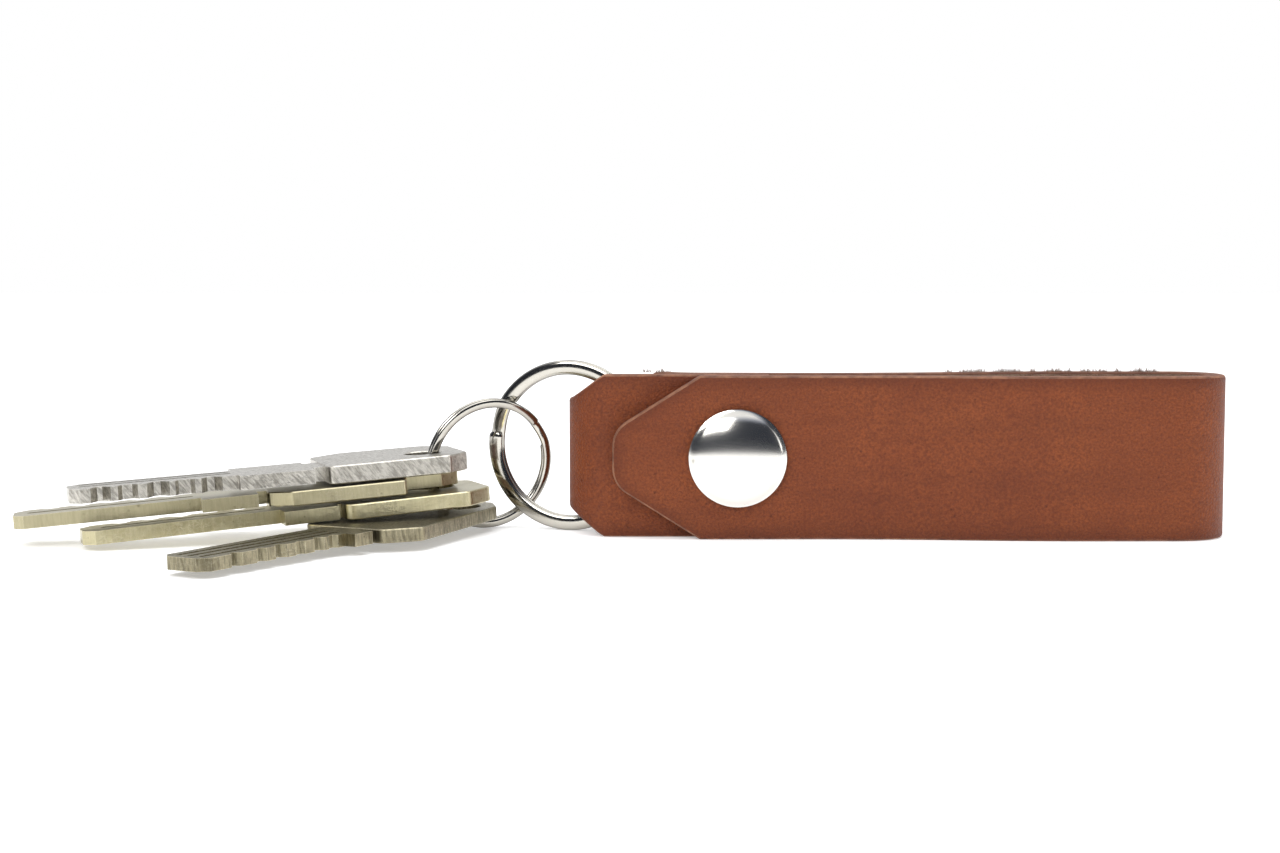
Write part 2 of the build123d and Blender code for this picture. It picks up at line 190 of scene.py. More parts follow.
def buildLeatherGrain():
    # Pebbled hide: cells with creases between them, scattered hair pores and slow blotches of dye
    outputs = ["Height", "Blotch", "Pore", "Streak", "Fine"]
    tree, given, result = startGroup("leatherGrain", [("cellScale", 1900), ("blotchScale", 90)], outputs)
    cellScale, blotchScale = given.outputs["cellScale"], given.outputs["blotchScale"]
    place = stretched(tree)
    crease = remap(tree, cells(tree, place, cellScale, "DISTANCE_TO_EDGE"), 0.0, hideShape["creaseWidth"])
    poreScale = times(tree, cellScale, hideShape["poreScale"])
    pore = remap(tree, cells(tree, place, poreScale), *hideShape["poreSize"], 1.0, 0.0)
    chance = noiseField(tree, place, times(tree, poreScale, hideShape["chanceScale"]), 1.0)
    poreMask = times(tree, pore, remap(tree, chance, *hideShape["poreChance"]))
    fineScale = times(tree, cellScale, hideShape["fineScale"])
    fine = noiseField(tree, place, fineScale, 5.0, 0.65)
    height = times(tree, crease, hideShape["creaseHeight"])
    height = calc(tree, "ADD", height, times(tree, fine, hideShape["fineHeight"]))
    height = calc(tree, "SUBTRACT", height, times(tree, poreMask, hideShape["poreHeight"]))
    speckle = noiseField(tree, place, fineScale, 4.0, 0.7)
    blotch = noiseField(tree, place, blotchScale, 6.0, 0.6, 0.4)
    streakPlace = stretched(tree, hideShape["streakStretch"], hideShape["streakTurn"])
    streak = noiseField(tree, streakPlace, times(tree, blotchScale, hideShape["streakScale"]), 5.0, 0.6)
    plug(tree, height, result.inputs["Height"])
    plug(tree, remap(tree, blotch, *hideShape["blotch"]), result.inputs["Blotch"])
    plug(tree, poreMask, result.inputs["Pore"])
    plug(tree, remap(tree, streak, *hideShape["streak"]), result.inputs["Streak"])
    plug(tree, remap(tree, speckle, *hideShape["speckle"]), result.inputs["Fine"])
    return tree


scratchShape = {
    "sets": (((1, 0.03, 1), (12, 0, 35)), ((1, 0.04, 1), (-20, 8, -50)), ((1, 0.05, 1), (0, 30, 80))),
    "lineWidth": 0.02, "gateScale": 160.0, "gateTop": 0.75,
}


def buildScratches():
    # Three crossing sets of hair scratches, broken up so that they come and go
    inputs = [("lineScale", 700), ("density", 0.5)]
    tree, given, result = startGroup("hairScratches", inputs, ["Mask", "Height"])
    masks = []
    for stretch, turn in scratchShape["sets"]:
        line = noiseField(tree, stretched(tree, stretch, turn), given.outputs["lineScale"], 2.0, 0.5)
        thin = calc(tree, "ABSOLUTE", calc(tree, "SUBTRACT", line, 0.5))
        masks.append(remap(tree, thin, 0.0, scratchShape["lineWidth"], 1.0, 0.0))
    every = calc(tree, "MAXIMUM", calc(tree, "MAXIMUM", masks[0], masks[1]), masks[2])
    broad = noiseField(tree, stretched(tree), scratchShape["gateScale"], 3.0)
    gateLow = calc(tree, "SUBTRACT", 1.0, given.outputs["density"])
    mask = times(tree, every, remap(tree, broad, gateLow, scratchShape["gateTop"]))
    plug(tree, mask, result.inputs["Mask"])
    plug(tree, times(tree, mask, -1.0), result.inputs["Height"])
    return tree


millShape = {"squeeze": (1, 0.8, 0.10), "line": (0.42, 0.62)}


def buildMillMarks():
    # Parallel cutter marks, as on the sawn and milled faces of a key
    tree, given, result = startGroup("millMarks", [("lineScale", 900), ("angle", 0.6)], ["Mask", "Height"])
    place = tree.nodes.new("ShaderNodeTexCoord")
    turned = tree.nodes.new("ShaderNodeVectorRotate")
    turned.rotation_type = "Y_AXIS"
    tree.links.new(place.outputs["Object"], turned.inputs["Vector"])
    plug(tree, given.outputs["angle"], turned.inputs["Angle"])
    squeezed = tree.nodes.new("ShaderNodeVectorMath")
    squeezed.operation = "MULTIPLY"
    tree.links.new(turned.outputs[0], squeezed.inputs[0])
    squeezed.inputs[1].default_value = millShape["squeeze"]
    line = noiseField(tree, squeezed.outputs[0], given.outputs["lineScale"], 3.0, 0.7)
    plug(tree, remap(tree, line, *millShape["line"]), result.inputs["Mask"])
    plug(tree, line, result.inputs["Height"])
    return tree


wearShape = {"samples": 4, "turn": (0.99, 0.86), "breakScale": 900.0, "breakUp": (0.35, 0.6), "least": 0.3}


def buildEdgeWear():
    # Rubbed edges: where a rounded normal leaves the true one
    tree, given, result = startGroup("edgeWear", [("reach", 0.00025), ("strength", 1.0)], ["Mask"])
    rounded = tree.nodes.new("ShaderNodeBevel")
    rounded.samples = wearShape["samples"]
    plug(tree, given.outputs["reach"], rounded.inputs["Radius"])
    flat = tree.nodes.new("ShaderNodeNewGeometry")
    dot = tree.nodes.new("ShaderNodeVectorMath")
    dot.operation = "DOT_PRODUCT"
    tree.links.new(rounded.outputs[0], dot.inputs[0])
    tree.links.new(flat.outputs["Normal"], dot.inputs[1])
    uneven = noiseField(tree, stretched(tree), wearShape["breakScale"], 4.0, 0.65)
    breakUp = remap(tree, uneven, *wearShape["breakUp"], wearShape["least"], 1.0)
    edge = remap(tree, dot.outputs["Value"], *wearShape["turn"])
    plug(tree, times(tree, times(tree, edge, breakUp), given.outputs["strength"]), result.inputs["Mask"])
    return tree


stainShape = {
    "patchLow": 0.78, "patchSlope": 0.5, "patchSoft": 0.16, "speckScale": 9.0, "speckSize": (0.08, 0.2),
    "chanceScale": 4.0, "chance": (0.5, 0.6),
}


def buildStains():
    # Tarnish and pocket grime in soft-edged patches, with small dark specks
    tree, given, result = startGroup("tarnish", [("patchScale", 200), ("amount", 0.5)], ["Patch", "Speck"])
    patchScale = given.outputs["patchScale"]
    place = stretched(tree)
    patch = noiseField(tree, place, patchScale, 7.0, 0.68, 0.6)
    lowered = times(tree, given.outputs["amount"], stainShape["patchSlope"])
    low = calc(tree, "SUBTRACT", stainShape["patchLow"], lowered)
    high = calc(tree, "ADD", low, stainShape["patchSoft"])
    plug(tree, remap(tree, patch, low, high), result.inputs["Patch"])
    speck = cells(tree, place, times(tree, patchScale, stainShape["speckScale"]))
    chance = noiseField(tree, place, times(tree, patchScale, stainShape["chanceScale"]), 2.0)
    speckMask = remap(tree, speck, *stainShape["speckSize"], 1.0, 0.0)
    plug(tree, times(tree, speckMask, remap(tree, chance, *stainShape["chance"])), result.inputs["Speck"])
    return tree


leatherGrain = buildLeatherGrain()
hairScratches = buildScratches()
millMarks = buildMillMarks()
edgeWear = buildEdgeWear()
tarnish = buildStains()


# Materials
def startMaterial(name):
    material = bpy.data.materials.new(name)
    material.use_nodes = True
    tree = material.node_tree
    return material, tree, tree.nodes["Principled BSDF"]


def placeGroup(tree, group, **values):
    node = tree.nodes.new("ShaderNodeGroup")
    node.node_tree = group
    for label, value in values.items():
        plug(tree, value, node.inputs[label])
    return node


def blendColour(tree, share, first, second, mode="MIX"):
    node = tree.nodes.new("ShaderNodeMix")
    node.data_type = "RGBA"
    node.blend_type = mode
    plug(tree, share, node.inputs[0])
    for source, target in ((first, node.inputs[6]), (second, node.inputs[7])):
        if isinstance(source, (list, tuple)):
            target.default_value = source
        else:
            tree.links.new(source, target)
    return node.outputs[2]


def vertexValue(tree, name):
    node = tree.nodes.new("ShaderNodeAttribute")
    node.attribute_name = name
    return node.outputs["Fac"]


def bumpFrom(tree, shader, height, distance, strength=1.0):
    node = tree.nodes.new("ShaderNodeBump")
    node.inputs["Strength"].default_value = strength
    node.inputs["Distance"].default_value = distance
    tree.links.new(height, node.inputs["Height"])
    tree.links.new(node.outputs[0], shader.inputs["Normal"])


def placeHide(tree, finish):
    return placeGroup(tree, leatherGrain, cellScale=finish["cellScale"], blotchScale=finish["blotchScale"])


grainSide = {
    "base": tone(146, 76, 37), "deep": tone(127, 62, 31), "pore": tone(58, 27, 15),
    "burnish": tone(86, 39, 21), "cellScale": 1650.0, "blotchScale": 75.0, "blotch": 0.8, "speckle": 0.72,
    "streak": 0.22, "poreShare": 0.6, "rimPower": 1.6, "rimShare": 0.65, "rough": (0.42, 0.60),
    "roughHeight": (0.2, 0.9), "specular": 0.26, "grainDepth": 0.24 * mm, "bump": 0.7,
}


def buildGrainSide():
    material, tree, shader = startMaterial("leatherGrainSide")
    hide = placeHide(tree, grainSide)
    colour = blendColour(
        tree, times(tree, hide.outputs["Blotch"], grainSide["blotch"]), grainSide["base"], grainSide["deep"]
    )
    marks = (("Fine", "speckle", "burnish"), ("Streak", "streak", "burnish"), ("Pore", "poreShare", "pore"))
    for label, share, dark in marks:
        mark = times(tree, hide.outputs[label], grainSide[share])
        colour = blendColour(tree, mark, colour, grainSide[dark])
    rim = calc(tree, "POWER", vertexValue(tree, "rim"), grainSide["rimPower"])
    colour = blendColour(tree, times(tree, rim, grainSide["rimShare"]), colour, grainSide["burnish"])
    tree.links.new(colour, shader.inputs["Base Color"])
    low, high = grainSide["rough"]
    roughness = remap(tree, hide.outputs["Height"], *grainSide["roughHeight"], high, low)
    tree.links.new(roughness, shader.inputs["Roughness"])
    shader.inputs["Specular IOR Level"].default_value = grainSide["specular"]
    bumpFrom(tree, shader, hide.outputs["Height"], grainSide["grainDepth"], grainSide["bump"])
    return material


cutEdge = {
    "base": tone(158, 108, 78), "dark": tone(88, 46, 29), "cellScale": 3800.0, "blotchScale": 500.0,
    "innerShadeShare": 0.55, "rough": 0.72, "fibreDepth": 0.12 * mm, "bump": 0.8,
}


def buildCutEdge():
    material, tree, shader = startMaterial("leatherCutEdge")
    hide = placeHide(tree, cutEdge)
    colour = blendColour(tree, hide.outputs["Blotch"], cutEdge["base"], cutEdge["dark"])
    # Painted shade: the cut edge darkens towards its inner face, where it meets the other layer
    innerShade = times(tree, vertexValue(tree, "depth"), cutEdge["innerShadeShare"])
    colour = blendColour(tree, innerShade, colour, cutEdge["dark"])
    tree.links.new(colour, shader.inputs["Base Color"])
    shader.inputs["Roughness"].default_value = cutEdge["rough"]
    bumpFrom(tree, shader, hide.outputs["Height"], cutEdge["fibreDepth"], cutEdge["bump"])
    return material


fleshSide = {
    "base": tone(176, 148, 124), "dark": tone(116, 92, 74), "tan": tone(150, 104, 78), "cellScale": 2600.0,
    "blotchScale": 260.0, "streak": 0.5, "rough": 0.95, "sheen": 0.4, "sheenRough": 0.5, "napDepth": 0.3 * mm,
}


def buildFleshSide():
    material, tree, shader = startMaterial("leatherFleshSide")
    hide = placeHide(tree, fleshSide)
    colour = blendColour(tree, hide.outputs["Blotch"], fleshSide["base"], fleshSide["dark"])
    streak = times(tree, hide.outputs["Streak"], fleshSide["streak"])
    colour = blendColour(tree, streak, colour, fleshSide["tan"])
    tree.links.new(colour, shader.inputs["Base Color"])
    shader.inputs["Roughness"].default_value = fleshSide["rough"]
    shader.inputs["Sheen Weight"].default_value = fleshSide["sheen"]
    shader.inputs["Sheen Roughness"].default_value = fleshSide["sheenRough"]
    bumpFrom(tree, shader, hide.outputs["Height"], fleshSide["napDepth"])
    return material


def buildMetal(name, finish):
    # One bare metal: two tones, grime, hair scratches, milling, rubbed edges, and painted shade that darkens
    # the sides turned away from the viewer
    material, tree, shader = startMaterial(name)
    stain = placeGroup(tree, tarnish, patchScale=finish["patchScale"], amount=finish["tarnishAmount"])
    lines = placeGroup(tree, hairScratches, lineScale=finish["lineScale"], density=finish["density"])
    milled = placeGroup(tree, millMarks, lineScale=finish["millScale"], angle=finish["millAngle"])
    worn = placeGroup(tree, edgeWear, reach=finish["wearReach"], strength=finish["wearShare"])
    # Painted shade: the sides turned away from the viewer blend towards the grime-and-shade colour
    paintedShadeFacing = tree.nodes.new("ShaderNodeLayerWeight")
    paintedShadeFacing.inputs["Blend"].default_value = finish["paintedShadeBlend"]
    patch = times(tree, stain.outputs["Patch"], finish["tarnishShare"])
    speck = times(tree, stain.outputs["Speck"], finish["speckShare"])
    scratch = times(tree, lines.outputs["Mask"], finish["scratchShare"])
    cutter = times(tree, milled.outputs["Mask"], finish["millShare"])
    away = times(tree, paintedShadeFacing.outputs["Facing"], finish["paintedShadeShare"])
    colour = finish["base"]
    for share, shade in (
        (patch, "deep"), (speck, "grimeAndShade"), (scratch, "bright"), (cutter, "grimeAndShade"),
        (worn.outputs["Mask"], "bright"), (away, "grimeAndShade"),
    ):
        colour = blendColour(tree, share, colour, finish[shade])
    tree.links.new(colour, shader.inputs["Base Color"])
    shader.inputs["Metallic"].default_value = finish["metallic"]
    dull = calc(tree, "MAXIMUM", patch, calc(tree, "MAXIMUM", speck, cutter))
    rough = remap(tree, dull, 0.0, 1.0, *finish["rough"])
    rough = calc(tree, "ADD", rough, times(tree, scratch, finish["scratchRough"]))
    tree.links.new(rough, shader.inputs["Roughness"])
    cut = times(tree, milled.outputs["Height"], finish["millShare"])
    height = calc(tree, "ADD", lines.outputs["Height"], cut)
    bumpFrom(tree, shader, height, finish["depth"], finish["bump"])
    return material


polishedNickel = {
    "base": tone(234, 231, 224), "deep": tone(206, 202, 194), "grimeAndShade": tone(104, 102, 100),
    "bright": tone(248, 247, 243), "metallic": 1.0, "rough": (0.17, 0.28), "scratchRough": 0.16,
    "patchScale": 150.0, "tarnishAmount": 0.35, "tarnishShare": 0.12, "speckShare": 0.08,
    "lineScale": 900.0, "density": 0.5, "scratchShare": 0.14, "millScale": 1500.0, "millAngle": 0.9,
    "millShare": 0.0, "wearReach": 0.2 * mm, "wearShare": 0.0, "depth": 0.004 * mm, "bump": 0.25,
    "paintedShadeBlend": 0.5, "paintedShadeShare": 0.25,
}
platedSteel = dict(
    polishedNickel, base=tone(206, 204, 200), deep=tone(150, 146, 138), rough=(0.10, 0.34), tarnishShare=0.45,
    speckShare=0.3,
)
# The rings' near-black grime-and-shade colour at a large share paints shade along their turned-away sides
ringSteel = dict(
    polishedNickel, base=tone(196, 192, 182), deep=tone(150, 146, 136), grimeAndShade=tone(40, 38, 36),
    rough=(0.12, 0.28), speckShare=0.2, tarnishShare=0.3, scratchShare=0.2, paintedShadeBlend=0.62, paintedShadeShare=0.92,
)
brightKey = dict(
    polishedNickel, base=tone(204, 200, 190), deep=tone(156, 149, 135), grimeAndShade=tone(80, 73, 64),
    bright=tone(242, 240, 234), patchScale=120.0, tarnishAmount=0.45, tarnishShare=0.22, speckShare=0.4,
    lineScale=620.0, density=0.75, scratchShare=0.4, millScale=2600.0, millAngle=0.75, millShare=0.5,
    wearReach=0.22 * mm, wearShare=0.8, rough=(0.28, 0.46), scratchRough=0.1, depth=0.03 * mm, bump=0.6,
    paintedShadeBlend=0.4, paintedShadeShare=0.2,
)
yellowKey = dict(
    brightKey, base=tone(182, 174, 142), deep=tone(134, 124, 88), grimeAndShade=tone(74, 67, 46),
    bright=tone(222, 215, 188), millShare=0.12, millAngle=0.1, density=0.6, rough=(0.30, 0.48),
    tarnishShare=0.4, patchScale=70.0,
)
stainedKey = dict(
    brightKey, base=tone(196, 188, 152), deep=tone(146, 132, 90), grimeAndShade=tone(78, 70, 48),
    bright=tone(230, 223, 192), millShare=0.12, millAngle=0.1, tarnishAmount=0.5, tarnishShare=0.45,
    speckShare=0.5, rough=(0.28, 0.5), patchScale=110.0,
)
darkKey = dict(
    brightKey, base=tone(156, 148, 122), deep=tone(100, 93, 72), grimeAndShade=tone(46, 41, 32),
    bright=tone(212, 205, 178), millShare=0.45, millAngle=0.15, tarnishAmount=0.55, tarnishShare=0.5,
    speckShare=0.6, rough=(0.32, 0.52),
)

leatherGrainSide = buildGrainSide()
leatherCutEdge = buildCutEdge()
leatherFleshSide = buildFleshSide()
capNickel = buildMetal("capNickel", polishedNickel)
ringNickel = buildMetal("ringNickel", ringSteel)
rivetSteel = buildMetal("rivetSteel", platedSteel)
brightKeyMetal = buildMetal("brightKeyMetal", brightKey)
yellowKeyMetal = buildMetal("yellowKeyMetal", yellowKey)
stainedKeyMetal = buildMetal("stainedKeyMetal", stainedKey)
darkKeyMetal = buildMetal("darkKeyMetal", darkKey)
print("stage: materials", len(bpy.data.materials))


# Strap path
def startPath(x, y, degrees):  # centre line seen from above, as straight runs and tangent turns
    return {"moves": [], "x": x, "y": y, "heading": math.radians(degrees), "length": 0.0}


def addRun(path, length):
    path["moves"].append((path["length"], length, path["x"], path["y"], path["heading"], 0.0))
    path["x"] += length * math.cos(path["heading"])
    path["y"] += length * math.sin(path["heading"])
    path["length"] += length


def addTurn(path, radius, degrees):  # positive turns left
    angle = math.radians(degrees)
    x, y, heading = path["x"], path["y"], path["heading"]
    length = radius * abs(angle)
    signed = math.copysign(radius, angle)
    path["moves"].append((path["length"], length, x, y, heading, angle))
    path["x"] = x + signed * (math.sin(heading + angle) - math.sin(heading))
    path["y"] = y - signed * (math.cos(heading + angle) - math.cos(heading))
    path["heading"] = heading + angle
    path["length"] += length


def addShift(path, along, aside):  # two equal turns that move the line to the left by aside
    half = math.degrees(2 * math.atan2(abs(aside), along))
    radius = (along ** 2 + aside ** 2) / (4 * abs(aside))
    addTurn(path, radius, math.copysign(half, aside))
    addTurn(path, radius, -math.copysign(half, aside))


def pathAt(path, distance):  # x, y and heading there
    move = [m for m in path["moves"] if m[0] <= distance + 1e-9][-1]
    start, length, x, y, heading, angle = move
    part = distance - start
    if angle == 0:
        return x + part * math.cos(heading), y + part * math.sin(heading), heading
    radius = length / angle
    newHeading = heading + angle * part / length
    newX = x + radius * (math.sin(newHeading) - math.sin(heading))
    newY = y - radius * (math.cos(newHeading) - math.cos(heading))
    return newX, newY, newHeading


leather = {
    "thickness": 3.2 * mm, "bevel": 0.55 * mm, "bevelSteps": 3, "innerBevel": 0.6, "station": 0.8 * mm,
    "rows": 30, "waver": 0.10 * mm, "waverShare": 0.8, "waverScale": 38.0, "waverAcross": 3,
    "nap": 0.05 * mm, "napScale": 900.0,
    "foldSlope": 35.0, "foldBlend": 8.0 * mm, "chamferLength": 5.2 * mm, "chamferHeight": 3.9 * mm,
    "notchFlat": 2.0 * mm, "notchRun": 5.5 * mm, "loopStraight": 10.9 * mm, "tabMargin": 0.4 * mm,
    "backCurveX": 10.0 * mm, "flapCurveX": 12.0 * mm, "taperEnd": 13.6 * mm, "tipHalf": 4.2 * mm,
    "tipRadius": 4.6 * mm, "tipSlope": 29.0, "tipSteps": 8, "cornerReach": 1.2, "rimReach": 3.2 * mm,
}

half = leather["thickness"] / 2
backLow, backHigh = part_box("strap_back")
bendLow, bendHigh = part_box("strap_bend")
flapLow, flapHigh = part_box("strap_flap")
width = backHigh.z - backLow.z
bendX = bendLow.x
bendY = (bendLow.y + bendHigh.y) / 2
bendLine = (bendHigh.y - bendLow.y) / 2 - half
eyeLine = (backHigh.y - half) / 2  # the tab's middle is y 0
eyeX = backLow.x + half + eyeLine
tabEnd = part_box("snap_stud")[1].z - width / 2 + leather["tabMargin"]
capAxisZ = (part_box("snap_cap")[0].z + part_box("snap_cap")[1].z) / 2
flapY = flapHigh.y - half
pitchY = -flapY
curveEndX = bendX - leather["loopStraight"]

backPath = startPath(tabEnd, 0.0, 180)
addRun(backPath, tabEnd - eyeX)
addTurn(backPath, eyeLine, -(180 + leather["foldSlope"]))
slope = math.radians(leather["foldSlope"])
blendDrop = leather["foldBlend"] * (1 - math.cos(slope))
addRun(backPath, (backPath["y"] - pitchY - blendDrop) / math.sin(slope))
addTurn(backPath, leather["foldBlend"], leather["foldSlope"])
addRun(backPath, leather["backCurveX"] - backPath["x"])
addShift(backPath, curveEndX - backPath["x"], bendY + bendLine - pitchY)
addRun(backPath, bendX - backPath["x"])

flapPath = startPath(bendX, bendY + bendLine, 0)
addTurn(flapPath, bendLine, -180)
addRun(flapPath, bendX - curveEndX)
addShift(flapPath, curveEndX - leather["flapCurveX"], -(bendLine - bendY - pitchY))
addRun(flapPath, flapPath["x"] - flapLow.x)


def foldInset(x, y):  # how far the strap's edges draw in round the ring fold
    if y < eyeLine:
        share = (backLow.x + leather["chamferLength"] - x) / leather["chamferLength"]
    else:
        share = (eyeX + leather["notchFlat"] + leather["notchRun"] - x) / leather["notchRun"]
    return leather["chamferHeight"] * clamp(share)


def backStations():
    stations = []
    count = round(backPath["length"] / leather["station"])
    for j in range(count + 1):
        distance = backPath["length"] * j / count
        x, y, heading = pathAt(backPath, distance)
        inset = foldInset(x - half * max(0.0, math.sin(heading)), y)
        stations.append((distance, inset, width - inset))
    return stations


def flapStations():
    radius, steps = leather["tipRadius"], leather["tipSteps"]
    tipFlat = leather["tipHalf"] - radius * math.tan(math.radians(leather["tipSlope"]))
    rise = (width / 2 - leather["tipHalf"]) / leather["taperEnd"]
    lean = math.pi / 2 - math.atan(rise)
    fromTip = [(0.0, tipFlat)]
    for k in range(1, steps + 1):
        angle = lean * k / steps
        fromTip.append((radius * (1 - math.cos(angle)), tipFlat + radius * math.sin(angle)))
    x = fromTip[-1][0]
    while x + leather["station"] < leather["taperEnd"]:
        x += leather["station"]
        fromTip.append((x, leather["tipHalf"] + rise * x))
    fromTip.append((leather["taperEnd"], width / 2))
    rest = flapPath["length"] - leather["taperEnd"]
    count = round(rest / leather["station"])
    stations = [(rest * j / count, width / 2) for j in range(count)]
    stations += [(flapPath["length"] - away, tall) for away, tall in reversed(fromTip)]
    return [(distance, width / 2 - tall, width / 2 + tall) for distance, tall in stations]


def insetGrid(stations, inset, closedStart, closedEnd):
    # Flat positions (distance, z) of every station and row, with the outline drawn in by inset
    rows = leather["rows"]
    last = len(stations) - 1
    plain = [[(d, low + (high - low) * i / rows) for i in range(rows + 1)] for d, low, high in stations]
    grid = [column[:] for column in plain]
    for i, side in ((0, -1), (rows, 1)):
        for j in range(last + 1):
            before = plain[max(0, j - 1)][i]
            after = plain[min(last, j + 1)][i]
            along = Vector((after[0] - before[0], after[1] - before[1])).normalized()
            normal = Vector((along.y, -along.x)) * -side
            if (j == 0 and closedStart) or (j == last and closedEnd):
                endward = -1 if j == 0 else 1
                normal = (normal + Vector((endward, 0))).normalized() * leather["cornerReach"]
            grid[j][i] = (plain[j][i][0] - normal.x * inset, plain[j][i][1] - normal.y * inset)
    for j in range(last + 1):
        (lowD, lowZ), (highD, highZ) = grid[j][0], grid[j][rows]
        for i in range(1, rows):
            share = i / rows
            d = lowD + (highD - lowD) * share
            if (j == 0 and closedStart) or (j == last and closedEnd):
                d = plain[j][i][0] + inset * (1 if j == 0 else -1)
            grid[j][i] = (d, lowZ + (highZ - lowZ) * share)
    return grid


presses = [  # where metal presses the leather: layer, on its outer face, radius, falloff, depth
    ("flap", True, 7.9 * mm, 1.6 * mm, 0.14 * mm),
    ("flap", False, 5.3 * mm, 1.2 * mm, 0.30 * mm),
    ("back", True, 5.0 * mm, 1.4 * mm, 0.25 * mm),
]


def pressDepth(part, outer, x, y, z):
    depth = 0.0
    for where, onOuter, radius, falloff, deep in presses:
        if where != part or onOuter != outer or (part == "back" and y < 2 * half):
            continue
        away = math.hypot(x, z - capAxisZ)
        depth += deep * ease(clamp((radius + falloff - away) / falloff))
    return depth


def strapPiece(name, path, stations, closedStart, closedEnd, part):
    # A sheet along the path, with the piece and each point's distance along the path given back
    bevel = leather["bevel"]
    levels = []
    for k in range(leather["bevelSteps"] + 1):
        angle = math.pi / 2 * k / leather["bevelSteps"]
        levels.append((half - bevel * (1 - math.sin(angle)), bevel * (1 - math.cos(angle))))
    levels.reverse()  # from the outer face's rim down to the side wall
    levels = levels + [(-n, inset * leather["innerBevel"]) for n, inset in reversed(levels)]
    rows = leather["rows"]
    last = len(stations) - 1
    points, rim, depth, away = [], [], [], []

    def put(d, z, n):
        x, y, heading = pathAt(path, min(max(d, 0.0), path["length"]))
        low = min(z, width - z) / width
        normal = Vector((-math.sin(heading), math.cos(heading)))
        wave = noise.noise(Vector((x, y * leather["waverAcross"], z)) * leather["waverScale"])
        lift = leather["waver"] * wave * (1 - 2 * low) * leather["waverShare"]
        offset = n
        if abs(n) >= half - 1e-9:
            offset -= math.copysign(pressDepth(part, n > 0, x, y, z), n)
        if n < -half / 2:
            offset += leather["nap"] * noise.noise(Vector((x, y, z)) * leather["napScale"])
        points.append((x + normal.x * offset, y + normal.y * offset, z + lift))
        edgeAway = min(z - outline(d, 1), outline(d, 2) - z)
        if closedEnd:
            edgeAway = min(edgeAway, path["length"] - d)
        if closedStart:
            edgeAway = min(edgeAway, d)
        rim.append(1 - clamp(edgeAway / leather["rimReach"]))
        depth.append(0.5 - n / (2 * half))
        away.append(d)

    def between(d, index):
        for first, second in zip(stations, stations[1:]):
            if d <= second[0]:
                span = max(1e-9, second[0] - first[0])
                share = max(0.0, (d - first[0]) / span)
                return first[index] + (second[index] - first[index]) * share
        return stations[-1][index]

    known = {}

    def outline(d, index):  # the lower or upper edge's height, worked out once for each distance
        key = (round(d, 6), index)
        if key not in known:
            known[key] = between(d, index)
        return known[key]

    outer = insetGrid(stations, levels[0][1], closedStart, closedEnd)
    inner = insetGrid(stations, levels[-1][1], closedStart, closedEnd)
    faces, slots = [], []
    size = rows + 1
    for grid, n in ((outer, half), (inner, -half)):
        base = len(points)
        for column in grid:
            for d, z in column:
                put(d, z, n)
        for j in range(last):
            for i in range(rows):
                a = base + j * size + i
                faces.append((a, a + 1, a + size + 1, a + size))
                slots.append(0 if n > 0 else 2)
    loop = [(j, 0) for j in range(last)] + [(last, i) for i in range(rows)]
    loop += [(j, rows) for j in range(last, 0, -1)] + [(0, i) for i in range(rows, 0, -1)]
    rings = [[j * size + i for j, i in loop]]
    for n, inset in levels[1:-1]:
        grid = insetGrid(stations, inset, closedStart, closedEnd)
        base = len(points)
        for j, i in loop:
            d, z = grid[j][i]
            put(d, z, n)
        rings.append([base + k for k in range(len(loop))])
    rings.append([size * (last + 1) + j * size + i for j, i in loop])
    for k, (ringA, ringB) in enumerate(zip(rings, rings[1:])):
        for m in range(len(loop)):
            following = (m + 1) % len(loop)
            faces.append((ringA[m], ringA[following], ringB[following], ringB[m]))
            slots.append(0 if k == 0 else 1)
    piece = meshPiece(name, points, faces, [leatherGrainSide, leatherCutEdge, leatherFleshSide], slots, 50)
    storeValue(piece, "rim", rim)
    storeValue(piece, "depth", depth)
    return piece, away


strapBody = strapPiece("strap_back_leather", backPath, backStations(), True, False, "back")[0]
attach(strapBody, "back")
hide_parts("strap_back")

strapFront, frontAway = strapPiece("strap_flap_leather", flapPath, flapStations(), False, True, "flap")
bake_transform(strapFront)
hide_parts("strap_bend", "strap_flap")


# Loose fibres along the raw top edge of the rear layer
nap = {
    "tries": 4200, "length": (0.35 * mm, 1.0 * mm), "wide": 0.055 * mm, "sink": 0.12 * mm, "spread": 0.8,
    "startX": 12.0 * mm, "bend": 0.35 * mm, "curl": 0.5, "steps": 4, "sides": 3, "thinning": 0.85,
    "clumps": (900, 2300), "clumpFrom": -0.4,
}


def napFibre(points, faces, foot, lean, curl, length):
    first, sides = len(points), nap["sides"]
    for j in range(nap["steps"]):
        share = j / (nap["steps"] - 1)
        middle = foot + Vector((lean * share + curl * share * share, curl * share, length * share))
        slim = nap["wide"] * (1 - nap["thinning"] * share)
        for k in range(sides):
            angle = 2 * math.pi * k / sides
            points.append(middle + Vector((slim * math.cos(angle), slim * math.sin(angle), 0)))
    for j in range(nap["steps"] - 1):
        for k in range(sides):
            a, b = first + j * sides + k, first + j * sides + (k + 1) % sides
            faces.append((a, b, b + sides, a + sides))
    faces.append(tuple(range(first, first + sides)))
    faces.append(tuple(range(len(points) - sides, len(points))))


